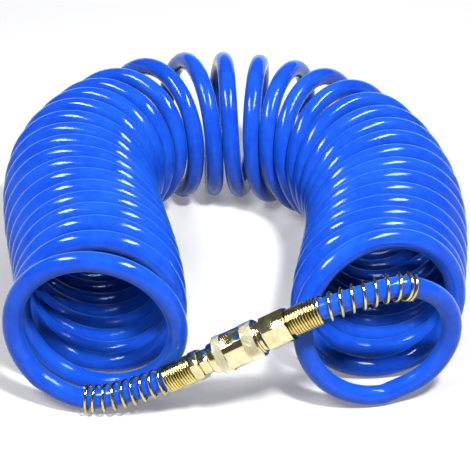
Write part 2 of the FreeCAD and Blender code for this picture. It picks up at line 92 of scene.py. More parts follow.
@dataclass
class ShaderTree:
    """A node tree that is filled from left to right."""
    tree: bpy.types.NodeTree

    def node(self, kind: str, **settings: object) -> bpy.types.Node:
        """Adds a node.

        Args:
            kind: the node's type name, without the leading ShaderNode.
            settings: attributes of the node and their values.

        Returns:
            The new node.
        """
        made = self.tree.nodes.new("ShaderNode" + kind)
        made.location = (len(self.tree.nodes) * NODE_SPACING, 0)
        for name, value in settings.items():
            setattr(made, name, value)
        return made

    def link(self, source: bpy.types.NodeSocket, target: bpy.types.NodeSocket) -> None:
        """Joins an output to an input."""
        self.tree.links.new(source, target)

    def stretched(self, place: bpy.types.NodeSocket, scale: Triple, turn: Triple) -> bpy.types.NodeSocket:
        """Adds a Mapping node.

        Args:
            place: the coordinates it reads.
            scale: how much each axis is multiplied.
            turn: the turn about each axis, in radians.

        Returns:
            The mapped coordinates.
        """
        mapping = self.node("Mapping")
        mapping.inputs["Scale"].default_value = scale
        mapping.inputs["Rotation"].default_value = turn
        self.link(place, mapping.inputs["Vector"])
        return mapping.outputs["Vector"]

    def between(self, value: bpy.types.NodeSocket, source: Pair, target: Pair) -> bpy.types.NodeSocket:
        """Adds a clamped Map Range node.

        Args:
            value: the value that it maps.
            source: the range of the value.
            target: the range of the result.

        Returns:
            The mapped value.
        """
        ranged = self.node("MapRange", interpolation_type="SMOOTHSTEP")
        for name, number in zip(("From Min", "From Max", "To Min", "To Max"), source + target):
            ranged.inputs[name].default_value = number
        self.link(value, ranged.inputs["Value"])
        return ranged.outputs["Result"]

    def mixed(self, share: bpy.types.NodeSocket, first: object, second: object) -> bpy.types.NodeSocket:
        """Adds a colour mix.

        Args:
            share: how much of the second colour shows.
            first: a colour or an output.
            second: a colour or an output.

        Returns:
            The mixed colour.
        """
        mix = self.node("Mix", data_type="RGBA")
        self.link(share, mix.inputs["Factor"])
        for name, value in (("A", first), ("B", second)):
            target = next(socket for socket in mix.inputs if socket.name == name and socket.type == "RGBA")
            if isinstance(value, bpy.types.NodeSocket):
                self.link(value, target)
            else:
                target.default_value = (*value, 1.0)
        return next(socket for socket in mix.outputs if socket.type == "RGBA")

    def maths(self, operation: str, first: bpy.types.NodeSocket, second: object) -> bpy.types.NodeSocket:
        """Adds a Math node.

        Args:
            operation: the name of the operation.
            first: the first value.
            second: the second value, a number or an output.

        Returns:
            The result.
        """
        made = self.node("Math", operation=operation)
        self.link(first, made.inputs[0])
        if isinstance(second, bpy.types.NodeSocket):
            self.link(second, made.inputs[1])
        else:
            made.inputs[1].default_value = second
        return made.outputs["Value"]


@dataclass(frozen=True)
class Effect:
    """A shader group with number inputs, shared by several materials."""
    name: str
    inputs: tuple[tuple[str, float], ...]
    outputs: tuple[str, ...]
    fill: Callable[[ShaderTree, bpy.types.Node, bpy.types.Node], None]

    def group(self) -> bpy.types.NodeTree:
        """Gives the group, which is built the first time that it is asked for.

        Returns:
            The group's tree.
        """
        found = bpy.data.node_groups.get(self.name)
        if found:
            return found
        tree = bpy.data.node_groups.new(self.name, "ShaderNodeTree")
        for name, value in self.inputs:
            socket = tree.interface.new_socket(name, in_out="INPUT", socket_type="NodeSocketFloat")
            socket.default_value = value
        for name in self.outputs:
            tree.interface.new_socket(name, in_out="OUTPUT", socket_type="NodeSocketFloat")
        entry = tree.nodes.new("NodeGroupInput")
        leave = tree.nodes.new("NodeGroupOutput")
        self.fill(ShaderTree(tree), entry, leave)
        return tree

    def place(self, shader: ShaderTree, **values: float) -> bpy.types.Node:
        """Places the group in a material.

        Args:
            shader: the material's tree.
            values: the inputs that differ from the usual ones.

        Returns:
            The group's node.
        """
        made = shader.node("Group", node_tree=self.group())
        for name, value in values.items():
            made.inputs[name].default_value = value
        return made


# Patches: the fine ones against the large ones, and where their edges lie in the noise
FINE_PATCH_TIMES = 5.3
FINE_PATCH_SHARE = 0.35
PATCH_EDGES: Pair = (0.36, 0.64)

# Rubbed lines: how each direction stretches the noise and turns it, and which part of it is a line
SCUFF_DIRECTIONS = (((1.0, 0.05, 1.0), 0.4), ((0.06, 1.0, 1.0), 1.3), ((1.0, 1.0, 0.05), 0.9))
SCUFF_TILT = 0.7
SCUFF_DETAIL = 4.0
SCUFF_EDGES: Pair = (0.60, 0.74)
SCUFF_ROUGHNESS = 0.2

GRAIN_DETAIL = 2.0

# How far a surface has turned away where its painted rim reflection begins and where it is full
PAINTED_RIM_EDGES: Pair = (0.5, 0.95)


def fill_clouds(shader: ShaderTree, entry: bpy.types.Node, leave: bpy.types.Node) -> None:
    """Soft patches of two sizes, for colour and gloss that vary over a surface.

    Args:
        shader: the group's tree.
        entry: the group's input node.
        leave: the group's output node.
    """
    place = shader.node("TexCoord").outputs["Object"]
    shares = []
    for times, share in ((1.0, 1.0 - FINE_PATCH_SHARE), (FINE_PATCH_TIMES, FINE_PATCH_SHARE)):
        texture = shader.node("TexNoise")
        shader.link(place, texture.inputs["Vector"])
        shader.link(shader.maths("MULTIPLY", entry.outputs["Scale"], times), texture.inputs["Scale"])
        shares.append(shader.maths("MULTIPLY", texture.outputs["Fac"], share))
    mix = shader.maths("ADD", *shares)
    shader.link(shader.between(mix, PATCH_EDGES, NONE_TO_ALL), leave.inputs["Patches"])


def fill_scuffs(shader: ShaderTree, entry: bpy.types.Node, leave: bpy.types.Node) -> None:
    """Thin rubbed lines in three directions.

    Args:
        shader: the group's tree.
        entry: the group's input node.
        leave: the group's output node.
    """
    place = shader.node("TexCoord").outputs["Object"]
    total = None
    for stretch, turn in SCUFF_DIRECTIONS:
        mapped = shader.stretched(place, stretch, (turn, SCUFF_TILT * turn, -turn))
        texture = shader.node("TexNoise")
        texture.inputs["Detail"].default_value = SCUFF_DETAIL
        shader.link(mapped, texture.inputs["Vector"])
        shader.link(entry.outputs["Scale"], texture.inputs["Scale"])
        line = shader.between(texture.outputs["Fac"], SCUFF_EDGES, NONE_TO_ALL)
        total = line if total is None else shader.maths("MAXIMUM", total, line)
    shader.link(shader.maths("MULTIPLY", total, entry.outputs["Amount"]), leave.inputs["Scuffs"])


def fill_grain(shader: ShaderTree, entry: bpy.types.Node, leave: bpy.types.Node) -> None:
    """Fine pits and swells, as a height.

    Args:
        shader: the group's tree.
        entry: the group's input node.
        leave: the group's output node.
    """
    place = shader.node("TexCoord").outputs["Object"]
    texture = shader.node("TexNoise")
    texture.inputs["Detail"].default_value = GRAIN_DETAIL
    shader.link(place, texture.inputs["Vector"])
    shader.link(entry.outputs["Scale"], texture.inputs["Scale"])
    shader.link(texture.outputs["Fac"], leave.inputs["Height"])


CLOUDS = Effect("soft_patches", (("Scale", 60.0),), ("Patches",), fill_clouds)
SCUFFS = Effect("rubbed_lines", (("Scale", 900.0), ("Amount", 1.0)), ("Scuffs",), fill_scuffs)
GRAIN = Effect("fine_grain", (("Scale", 2500.0),), ("Height",), fill_grain)


# Finishes


@dataclass(frozen=True)
class Finish:
    """A finish that varies between two colours and two roughnesses, with worn lines and fine grain.

    Scales are waves per metre. The rim is a painted reflection: a colour painted where the surface turns
    away from the view, in place of the pale room that it would reflect there, and the sheen tints the
    reflections. The bounce is the share of light that the finish throws on to other surfaces.
    """
    name: str
    slot: Slot
    deep: Colour
    pale: Colour
    worn: Colour
    metallic: float
    roughness: Pair
    patch_scale: float = 60.0
    scuff_scale: float = 900.0
    scuff_amount: float = 0.3
    grain_scale: float = 2500.0
    grain_depth: float = 3e-6
    gloss: float = 0.5
    bounce: float = 1.0
    rim: Colour | None = None
    sheen: Colour = WHITE

    def material(self) -> bpy.types.Material:
        """Gives the material, which is built the first time that it is asked for.

        Returns:
            The material.
        """
        found = bpy.data.materials.get(self.name)
        if found:
            return found
        made = bpy.data.materials.new(self.name)
        made.use_nodes = True
        surface = next(node for node in made.node_tree.nodes if node.type == "BSDF_PRINCIPLED")
        shader = ShaderTree(made.node_tree)
        patches = CLOUDS.place(shader, Scale=self.patch_scale).outputs["Patches"]
        scuffs = SCUFFS.place(shader, Scale=self.scuff_scale, Amount=self.scuff_amount).outputs["Scuffs"]
        height = GRAIN.place(shader, Scale=self.grain_scale).outputs["Height"]
        colour = shader.mixed(scuffs, shader.mixed(patches, self.deep, self.pale), self.worn)
        # Painted reflection: the rim colour is painted on where the surface turns away from the view
        if self.rim:
            facing = shader.node("LayerWeight").outputs["Facing"]
            colour = shader.mixed(shader.between(facing, PAINTED_RIM_EDGES, NONE_TO_ALL), colour, self.rim)
        if self.bounce < 1.0:
            thrown = shader.node("LightPath").outputs["Is Diffuse Ray"]
            colour = shader.mixed(shader.maths("MULTIPLY", thrown, 1.0 - self.bounce), colour, BLACK)
        shader.link(colour, surface.inputs["Base Color"])
        rough = shader.between(patches, NONE_TO_ALL, self.roughness)
        rough = shader.maths("ADD", rough, shader.maths("MULTIPLY", scuffs, SCUFF_ROUGHNESS))
        shader.link(rough, surface.inputs["Roughness"])
        bump = shader.node("Bump")
        bump.inputs["Distance"].default_value = self.grain_depth
        shader.link(shader.maths("SUBTRACT", height, scuffs), bump.inputs["Height"])
        shader.link(bump.outputs["Normal"], surface.inputs["Normal"])
        surface.inputs["Metallic"].default_value = self.metallic
        surface.inputs["Specular IOR Level"].default_value = self.gloss
        surface.inputs["Specular Tint"].default_value = (*self.sheen, 1.0)
        return made

    def dress(self, piece: bpy.types.Object) -> None:
        """Gives a new piece this finish.

        Args:
            piece: the piece.
        """
        piece.data.materials.clear()
        piece.data.materials.append(self.material())


# The hose's rim colour is a painted reflection of the pale room along its turned-away edges
POLYURETHANE = Finish("blue_polyurethane", Slot.HOSE, deep=(0.009, 0.085, 0.78), pale=(0.014, 0.115, 0.86),
                      worn=(0.03, 0.20, 0.92), metallic=0.0, roughness=(0.10, 0.15), patch_scale=35.0,
                      scuff_scale=500.0, scuff_amount=0.12, grain_scale=300.0, gloss=0.25, bounce=0.15,
                      rim=(0.03, 0.30, 0.95), sheen=(0.75, 0.96, 1.0))
PLATING = Finish("yellow_plating", Slot.PLATED, deep=(0.63, 0.55, 0.28), pale=(0.77, 0.71, 0.44),
                 worn=(0.84, 0.80, 0.62), metallic=1.0, roughness=(0.07, 0.13), patch_scale=130.0,
                 scuff_scale=1500.0, scuff_amount=0.2, grain_depth=4e-7)
# The knurled bands are the same plating: their higher roughness is real, and their paler colour is painted
# light for the light that their small facets scatter
KNURLED_PAINTED_LIGHT = Finish("knurled_plating_painted_light", Slot.PLATED, deep=(0.72, 0.67, 0.46), pale=(0.84, 0.80, 0.60),
                 worn=(0.90, 0.87, 0.72), metallic=1.0, roughness=(0.30, 0.38), patch_scale=130.0,
                 scuff_scale=1500.0, scuff_amount=0.2, grain_depth=4e-7)
GUARD_STEEL = Finish("guard_wire_plating", Slot.WIRE, deep=(0.50, 0.39, 0.11), pale=(0.72, 0.61, 0.22),
                     worn=(0.82, 0.74, 0.42), metallic=1.0, roughness=(0.09, 0.15), patch_scale=160.0,
                     scuff_scale=1800.0, scuff_amount=0.2, grain_depth=4e-7)
BRIGHT_STEEL = Finish("bright_steel", Slot.BRIGHT, deep=(0.62, 0.62, 0.61), pale=(0.78, 0.78, 0.77),
                      worn=(0.9, 0.9, 0.9), metallic=1.0, roughness=(0.12, 0.22))
TURNED_BRASS = Finish("turned_brass", Slot.BRASS, deep=(0.66, 0.45, 0.17), pale=(0.80, 0.60, 0.28),
                      worn=(0.9, 0.76, 0.46), metallic=1.0, roughness=(0.18, 0.30))
SEAL_RUBBER = Finish("seal_rubber", Slot.SEAL, deep=(0.010, 0.010, 0.011), pale=(0.024, 0.024, 0.025),
                     worn=(0.06, 0.06, 0.06), metallic=0.0, roughness=(0.5, 0.68), gloss=0.4)

# CAD nodes that stay as they are, under a finish
CARRIED_OVER = {
    "plug_ferrule": PLATING,
    "socket_ferrule": PLATING,
    "lock_balls": BRIGHT_STEEL,
    "sleeve_front_ring": BRIGHT_STEEL,
    "valve_poppet": TURNED_BRASS,
    "valve_guide": TURNED_BRASS,
    "seal_washer": SEAL_RUBBER,
    "plug_packing": SEAL_RUBBER,
    "valve_seal": SEAL_RUBBER,
}


# Camera and studio


def stand(name: str, data: bpy.types.ID, place: Triple, target: Triple) -> bpy.types.Object:
    """Puts a camera or a lamp in the scene and points it.

    Args:
        name: of the object.
        data: the camera or the light.
        place: where it stands.
        target: what it faces.

    Returns:
        The object.
    """
    made = bpy.data.objects.new(name, data)
    made.location = place
    made.rotation_euler = (Vector(target) - Vector(place)).to_track_quat("-Z", "Y").to_euler()
    bpy.context.scene.collection.objects.link(made)
    return made


@dataclass(frozen=True)
class PhotoCamera:
    """The camera at the photograph's angle."""
    eye: Triple = (0.002484, -0.88444, 0.58985)
    target: Triple = (0.002484, 0.0445, 0.00073)
    lens: float = 121.77
    sensor: float = 36.0
    clip: Pair = (0.01, 20.0)

    def build(self) -> None:
        """Places the camera and makes it the scene's."""
        data = bpy.data.cameras.new("photo_camera")
        data.lens = self.lens
        data.sensor_width = self.sensor
        data.clip_start, data.clip_end = self.clip
        bpy.context.scene.camera = stand("photo_camera", data, self.eye, self.target)


@dataclass(frozen=True)
class SoftBox:
    """A soft lamp that faces the object. It lights surfaces, or only shows in them as a reflection."""
    name: str
    place: Triple
    width: float
    height: float
    power: float
    reflection: bool = False
    aim: Triple = (0.0, 0.0, 0.05)

    def build(self) -> None:
        """Places the lamp."""
        data = bpy.data.lights.new(self.name, "AREA")
        data.shape = "RECTANGLE"
        data.size = self.width
        data.size_y = self.height
        data.energy = self.power
        lamp = stand(self.name, data, self.place, self.aim)
        lamp.visible_diffuse = not self.reflection
        lamp.visible_glossy = self.reflection


@dataclass(frozen=True)
class Studio:
    """White floor, dark room above it, and soft lamps.

    Rays that don't come from the camera or a reflection find the floor darker and without its glow, and the
    room even and dim, so that both look white without lighting the object more than the lamps do.
    """
    lamps: tuple[SoftBox, ...] = (
        SoftBox("key_lamp", (0.36, -0.72, 1.30), 0.18, 0.18, 21.0),
        SoftBox("left_lamp", (-0.50, -0.75, 1.25), 0.4, 0.4, 10.0),
        SoftBox("back_lamp", (0.1, 0.95, 1.1), 0.7, 0.4, 4.5),
        SoftBox("left_glint", (-0.62, -0.18, 0.92), 0.5, 0.22, 17.0, reflection=True),
        SoftBox("right_glint", (0.45, -0.15, 0.92), 0.5, 0.22, 17.0, reflection=True),
    )
    floor_size: float = 8.0
    floor_roughness: float = 0.9
    floor_colour: Colour = (0.8, 0.8, 0.8)
    floor_bounce: Colour = (0.35, 0.35, 0.35)
    # Painted shade colour: the near floor's glow is tinted blue, so that the shadows on it look lit by blue
    # light off the hose
    floor_shadow_tint: Colour = (0.86, 0.87, 1.0)
    floor_glow: Pair = (0.26, 0.95)
    floor_fade: Pair = (0.45, 2.0)
    overhead: Colour = (0.11, 0.11, 0.11)
    horizon: Pair = (0.08, 0.2)
    ambient: float = 0.015

    def seen(self, shader: ShaderTree) -> bpy.types.NodeSocket:
        """Tells the rays that see the studio from those that only bring its light.

        Args:
            shader: the tree that asks.

        Returns:
            A value that is 1 for camera, glossy and transmission rays.
        """
        path = shader.node("LightPath")
        seen = shader.maths("MAXIMUM", path.outputs["Is Camera Ray"], path.outputs["Is Glossy Ray"])
        return shader.maths("MAXIMUM", seen, path.outputs["Is Transmission Ray"])

    def floor(self) -> None:
        """Lays the floor, white to the camera with the object's shadow on it, and glowing far away."""
        clear_selection()
        bpy.ops.mesh.primitive_plane_add(size=self.floor_size, location=(0.0, 0.0, 0.0))
        floor = bpy.context.active_object
        floor.name = "studio_floor"
        material = bpy.data.materials.new("floor_paper")
        material.use_nodes = True
        shader = ShaderTree(material.node_tree)
        paper = next(node for node in material.node_tree.nodes if node.type == "BSDF_PRINCIPLED")
        paper.inputs["Roughness"].default_value = self.floor_roughness
        paper.inputs["Specular IOR Level"].default_value = 0.0
        seen = self.seen(shader)
        shader.link(shader.mixed(seen, self.floor_bounce, self.floor_colour), paper.inputs["Base Color"])
        reach = shader.node("VectorMath", operation="LENGTH")
        shader.link(shader.node("TexCoord").outputs["Object"], reach.inputs[0])
        far = shader.between(reach.outputs["Value"], self.floor_fade, NONE_TO_ALL)
        # Painted shade colour: the glow is bluish near the object, where it shows in the shadows, and white
        # far away
        shader.link(shader.mixed(far, self.floor_shadow_tint, WHITE), paper.inputs["Emission Color"])
        glow = shader.between(far, NONE_TO_ALL, self.floor_glow)
        shader.link(shader.maths("MULTIPLY", glow, seen), paper.inputs["Emission Strength"])
        floor.data.materials.append(material)

    def room(self) -> None:
        """Sets the world: white at the horizon, dark overhead, and an even dim light."""
        world = bpy.data.worlds.new("studio_room")
        world.use_nodes = True
        bpy.context.scene.world = world
        shader = ShaderTree(world.node_tree)
        backdrop = next(node for node in world.node_tree.nodes if node.type == "BACKGROUND")
        leave = next(node for node in world.node_tree.nodes if node.type == "OUTPUT_WORLD")
        split = shader.node("SeparateXYZ")
        shader.link(shader.node("TexCoord").outputs["Generated"], split.inputs["Vector"])
        low = shader.between(split.outputs["Z"], self.horizon, (1.0, 0.0))
        shader.link(shader.mixed(low, self.overhead, WHITE), backdrop.inputs["Color"])
        even = shader.node("Background")
        even.inputs["Color"].default_value = (*WHITE, 1.0)
        even.inputs["Strength"].default_value = self.ambient
        mix = shader.node("MixShader")
        shader.link(self.seen(shader), mix.inputs["Fac"])
        shader.link(even.outputs["Background"], mix.inputs[1])
        shader.link(backdrop.outputs["Background"], mix.inputs[2])
        shader.link(mix.outputs["Shader"], leave.inputs["Surface"])

    def build(self) -> None:
        """Sets up the floor, the room and the lamps."""
        bpy.context.scene.view_settings.view_transform = "Standard"
        self.floor()
        self.room()
        for lamp in self.lamps:
            lamp.build()


# Hose and everything that is drawn as a wire

SPLINE_ORDER = 3
SPLINE_STEPS = 2
WIRE_ROUNDNESS = 4
CORNER_CUTS = 2


def smooth(table: Table, turn: float) -> float:
    """Reads a table of (turn, value) pairs that are joined by smooth steps.

    Args:
        table: the pairs, in order.
        turn: where to read it.

    Returns:
        The value at that turn.
    """
    if turn <= table[0][0]:
        return table[0][1]
    for (start, low), (end, high) in zip(table, table[1:]):
        if turn < end:
            share = (turn - start) / (end - start)
            return low + (high - low) * share * share * (3 - 2 * share)
    return table[-1][1]


def open_spline(name: str, points: Sequence[Vector], thickness: float = 0.0,
                roundness: int = 0) -> bpy.types.Object:
    """Makes a curve object with one open spline.

    Args:
        name: of the object.
        points: the spline's control points.
        thickness: diameter of the round body, or nothing for a bare line.
        roundness: how finely the body's section is divided.

    Returns:
        The object.
    """
    curve = bpy.data.curves.new(name, "CURVE")
    curve.dimensions = "3D"
    curve.resolution_u = SPLINE_STEPS
    curve.bevel_depth = thickness / 2
    curve.bevel_resolution = roundness
    curve.use_fill_caps = thickness > 0.0
    spline = curve.splines.new("NURBS")
    spline.points.add(len(points) - 1)
    for target, point in zip(spline.points, points):
        target.co = (*point, 1.0)
    spline.order_u = SPLINE_ORDER
    spline.use_endpoint_u = True
    made = bpy.data.objects.new(name, curve)
    bpy.context.scene.collection.objects.link(made)
    return made


@dataclass(frozen=True)
class Coil:
    """Coil of the hose, bent into a horseshoe: whole turns are at the top of a ring.

    Every turn has the same count of steps, and the steps from the first to the last are kept. The tables are
    (turn, value) pairs. Radius and spacing are in millimetres, and the swing of the heading is in degrees
    per turn. Yaw and lean are slopes: how far a ring lies ahead at its side and at its top.
    """
    start: Pair = (-0.0799, -0.1534)
    heading: float = 79.4
    steps: int = 40
    first: int = 5
    last: int = 1400
    first_turn: float = -0.5
    rest_height: float = 5.5 * MM
    radius: Table = ((-0.5, 48.5), (1.5, 45.8), (17, 45.29), (33, 45.7), (34.75, 48.5))
    spacing: Table = ((-0.5, 16.4), (0.5, 19.8), (2, 11.01), (6, 13.88), (10, 11.91), (13, 7.27),
                      (16, 11.15), (19, 16.08), (22, 12.39), (25, 11.16), (30, 12.98), (33, 13.09),
                      (34, 8.6), (34.75, 11.9))
    swing: Table = ((-0.5, -10), (2, -3.1), (5, -0.68), (8, 1.6), (10, 4.03), (12, 11.08), (14, 8.46),
                    (16, 24.64), (18, 9.01), (20, 13.63), (22, 14.47), (24, 4.59), (26, 5.24),
                    (29, 1.69), (32, -0.02), (34.75, -19))
    yaw: Table = ((0, -0.07), (1, -0.128), (3, -0.222), (8, -0.394), (11, -0.365), (13, -0.058),
                  (15, 0.106), (17, 0.165), (19, 0.091), (21, 0.025), (23, 0.059), (25, 0.157),
                  (28, 0.246), (32, 0.23), (34, 0.2), (35, 0.18))
    lean: Table = ((0, -0.03), (1, 0.038), (3, 0.094), (8, 0.12), (11, 0.164), (13, 0.178), (15, 0.205),
                   (17, 0.001), (19, -0.047), (21, -0.268), (23, -0.347), (25, -0.242), (28, -0.106),
                   (32, -0.02), (34, -0.07), (35, -0.24))

    def points(self) -> list[Vector]:
        """Lays out the turns along the bent axis.

        Returns:
            The points of the hose's middle line between its two tails, one for each step.
        """
        x, y = self.start
        heading = math.radians(self.heading)
        step = 1 / self.steps
        found = []
        for index in range(self.last + 1):
            turn = self.first_turn + index * step
            radius = smooth(self.radius, turn) * MM
            swing = math.radians(smooth(self.swing, turn))
            ahead = Vector((math.cos(heading), math.sin(heading), 0.0))
            left = Vector((-ahead.y, ahead.x, 0.0))
            across = radius * math.sin(2 * math.pi * turn)
            rise = radius * math.cos(2 * math.pi * turn)
            slant = across * smooth(self.yaw, turn) + rise * smooth(self.lean, turn)
            foot = Vector((x, y, radius + self.rest_height + rise))
            found.append(foot - left * across + ahead * slant)
            advance = (smooth(self.spacing, turn) * MM + abs(swing) * radius) * step
            middle = heading - swing * step / 2
            x += advance * math.cos(middle)
            y += advance * math.sin(middle)
            heading -= swing * step
        return found[self.first:]


@dataclass(frozen=True)
class CouplingSeat:
    """Where the coupling lies between the two ends of the hose."""
    start: Vector = Vector((-0.0207, -0.1524, 0.0357))
    axis: Vector = Vector((0.866, -0.014, 0.5)).normalized()
    roll: float = 52.0

    def matrix(self) -> Matrix:
        """Finds how the upright coupling is laid in place.

        Returns:
            The matrix from the bench to the scene.
        """
        upward = (Vector((0.0, 0.0, 1.0)) - self.axis * self.axis.z).normalized()
        front = self.axis.cross(upward)
        roll = math.radians(self.roll)
        first = upward * math.cos(roll) + front * math.sin(roll)
        second = self.axis.cross(first)
        turned = Matrix((first, second, self.axis)).transposed().to_4x4()
        return Matrix.Translation(self.start) @ turned

    def along(self, way: float) -> Vector:
        """Returns the point that lies this far along the coupling's axis."""
        return self.start + self.axis * way


SEAT = CouplingSeat()


@dataclass
class CoiledHose:
    """The blue hose: plug tail, coil and socket tail on one line."""
    seat: CouplingSeat
    coupling_length: float
    diameter: float = 11.9 * MM
    roundness: int = 14
    straight_end: float = 18.6 * MM
    length: float = 10.498
    coil: Coil = Coil()
    plug_tail: tuple[Triple, ...] = (
        (-0.0553, -0.1509, 0.0171), (-0.0753, -0.1497, 0.0099), (-0.0943, -0.1471, 0.0094))
    socket_tail: tuple[Triple, ...] = (
        (0.1167, -0.1345, 0.0160), (0.1306, -0.1331, 0.0440), (0.1237, -0.1369, 0.0725),
        (0.1002, -0.1456, 0.0893), (0.0737, -0.1515, 0.0853))

    def refined(self, points: list[Vector]) -> list[Vector]:
        """Cuts the corners of a run of control points, for shorter spans of the same curve.

        Args:
            points: the control points; the two ends stay.

        Returns:
            About twice as many control points for each cut.
        """
        for _ in range(CORNER_CUTS):
            cut = [points[0]]
            for point, following in zip(points, points[1:]):
                cut += [point.lerp(following, 0.25), point.lerp(following, 0.75)]
            points = cut + [points[-1]]
        return points

    def route(self) -> list[Vector]:
        """Joins the plug's tail, the coil and the socket's tail.

        Returns:
            The control points, from the plug's nut to the socket's hexagon.
        """
        coil = self.coil.points()
        before = [self.seat.along(0.0), self.seat.along(-self.straight_end)]
        before += [Vector(point) for point in self.plug_tail]
        after = [Vector(point) for point in self.socket_tail]
        after += [self.seat.along(self.coupling_length + self.straight_end),
                  self.seat.along(self.coupling_length)]
        return self.refined(before + coil[:1]) + coil[1:-1] + self.refined(coil[-1:] + after)

    def build(self) -> tuple[bpy.types.Object, list[Vector]]:
        """Makes the hose.

        Returns:
            The hose, and the points that its middle line follows.
        """
        hose = open_spline("hose_tube", self.route())
        plain = bpy.data.meshes.new_from_object(hose)
        middle_line = [vertex.co.copy() for vertex in plain.vertices]
        bpy.data.meshes.remove(plain)
        hose.data.bevel_depth = self.diameter / 2
        hose.data.bevel_resolution = self.roundness
        hose.data.use_fill_caps = True
        POLYURETHANE.dress(hose)
        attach(hose, Body.HOSE.value)
        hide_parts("hose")
        return hose, middle_line

    def declare(self) -> None:
        tuple(self.seat.along(0.0))


@dataclass
class SpringGuard:
    """Wire guard: close turns over the ferrule, open turns over the hose, and a closer end.

    Its line is the hose's middle line, from the coupling outwards.
    """
    name: str
    node: str
    line: list[Vector]
    open_pitch: float
    wire: float = 1.56 * MM
    radius: float = 7.75 * MM
    close_turns: float = 11.0
    close_pitch: float = 1.6 * MM
    open_turns: float = 8.0
    end_turns: float = 1.25
    end_pitch: float = 2.3 * MM
    first: float = 0.85 * MM
    steps: int = 20

    def travel(self, turn: float) -> float:
        """Follows the wire along the hose.

        Args:
            turn: how many turns of the wire lie behind.

        Returns:
            How far along the hose that is.
        """
        way = self.first + min(turn, self.close_turns) * self.close_pitch
        way += min(max(turn - self.close_turns, 0.0), self.open_turns) * self.open_pitch
        return way + max(turn - self.close_turns - self.open_turns, 0.0) * self.end_pitch

    def wound(self) -> list[Vector]:
        """Winds the wire on the hose's line.

        Returns:
            The points of the wire's middle line.
        """
        ways = [0.0]
        for point, following in zip(self.line, self.line[1:]):
            ways.append(ways[-1] + (following - point).length)
        total = self.close_turns + self.open_turns + self.end_turns
        points = []
        for index in range(round(total * self.steps) + 1):
            turn = index / self.steps
            way = self.travel(turn)
            place = min(bisect_right(ways, way), len(ways) - 1)
            share = (way - ways[place - 1]) / (ways[place] - ways[place - 1])
            middle = self.line[place - 1].lerp(self.line[place], share)
            along = (self.line[place] - self.line[place - 1]).normalized()
            side = along.cross(Vector((0.0, 0.0, 1.0))).normalized()
            upward = side.cross(along)
            angle = 2 * math.pi * turn
            points.append(middle + side * (self.radius * math.cos(angle))
                          + upward * (self.radius * math.sin(angle)))
        return points

    def build(self) -> bpy.types.Object:
        """Makes the guard and puts it on the hose's body.

        Returns:
            The guard.
        """
        guard = open_spline(self.name, self.wound(), self.wire, WIRE_ROUNDNESS)
        GUARD_STEEL.dress(guard)
        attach(guard, Body.HOSE.value)
        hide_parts(self.node)
        return guard


@dataclass(frozen=True)
class CompressionSpring:
    """Spring inside the coupling, wound between two heights.

    It rides with the piece at its held end, while its free end lies against the other piece. Both ends are
    heights on the upright coupling. The joint and the travel, how far the joint would bring them together,
    are not used.
    """
    name: str
    node: str
    body: Body
    joint: str
    held: float
    free: float
    travel: float
    radius: float
    wire: float
    turns: int = 5
    steps: int = 24

    def build(self, seat: CouplingSeat) -> bpy.types.Object:
        """Winds the spring on the coupling's axis.

        Args:
            seat: the coupling's place.

        Returns:
            The spring.
        """
        inset = math.copysign(self.wire / 2, self.free - self.held)
        first, last = self.held + inset, self.free - inset
        placed = seat.matrix()
        points = []
        for index in range(self.turns * self.steps + 1):
            share = index / (self.turns * self.steps)
            angle = 2 * math.pi * self.turns * share
            points.append(placed @ Vector((self.radius * math.cos(angle), self.radius * math.sin(angle),
                                           first + (last - first) * share)))
        line = open_spline("wound_wire", points, self.wire, WIRE_ROUNDNESS)
        mesh = bpy.data.meshes.new_from_object(line)
        mesh.name = self.name
        bpy.data.objects.remove(line)
        spring = bpy.data.objects.new(self.name, mesh)
        bpy.context.scene.collection.objects.link(spring)
        BRIGHT_STEEL.dress(spring)
        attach(spring, self.body.value)
        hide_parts(self.node)
        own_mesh(spring)
        return spring


# Bench for turned and milled pieces


def clear_selection() -> None:
    """Leaves edit mode and deselects every object."""
    if bpy.context.object and bpy.context.object.mode != "OBJECT":
        bpy.ops.object.mode_set(mode="OBJECT")
    bpy.ops.object.select_all(action="DESELECT")


MERGE_DISTANCE = 1e-6
BREAK_ANGLE = math.radians(24.0)
BREAK_FACETS = 2
SMOOTH_ANGLE = math.radians(32.0)


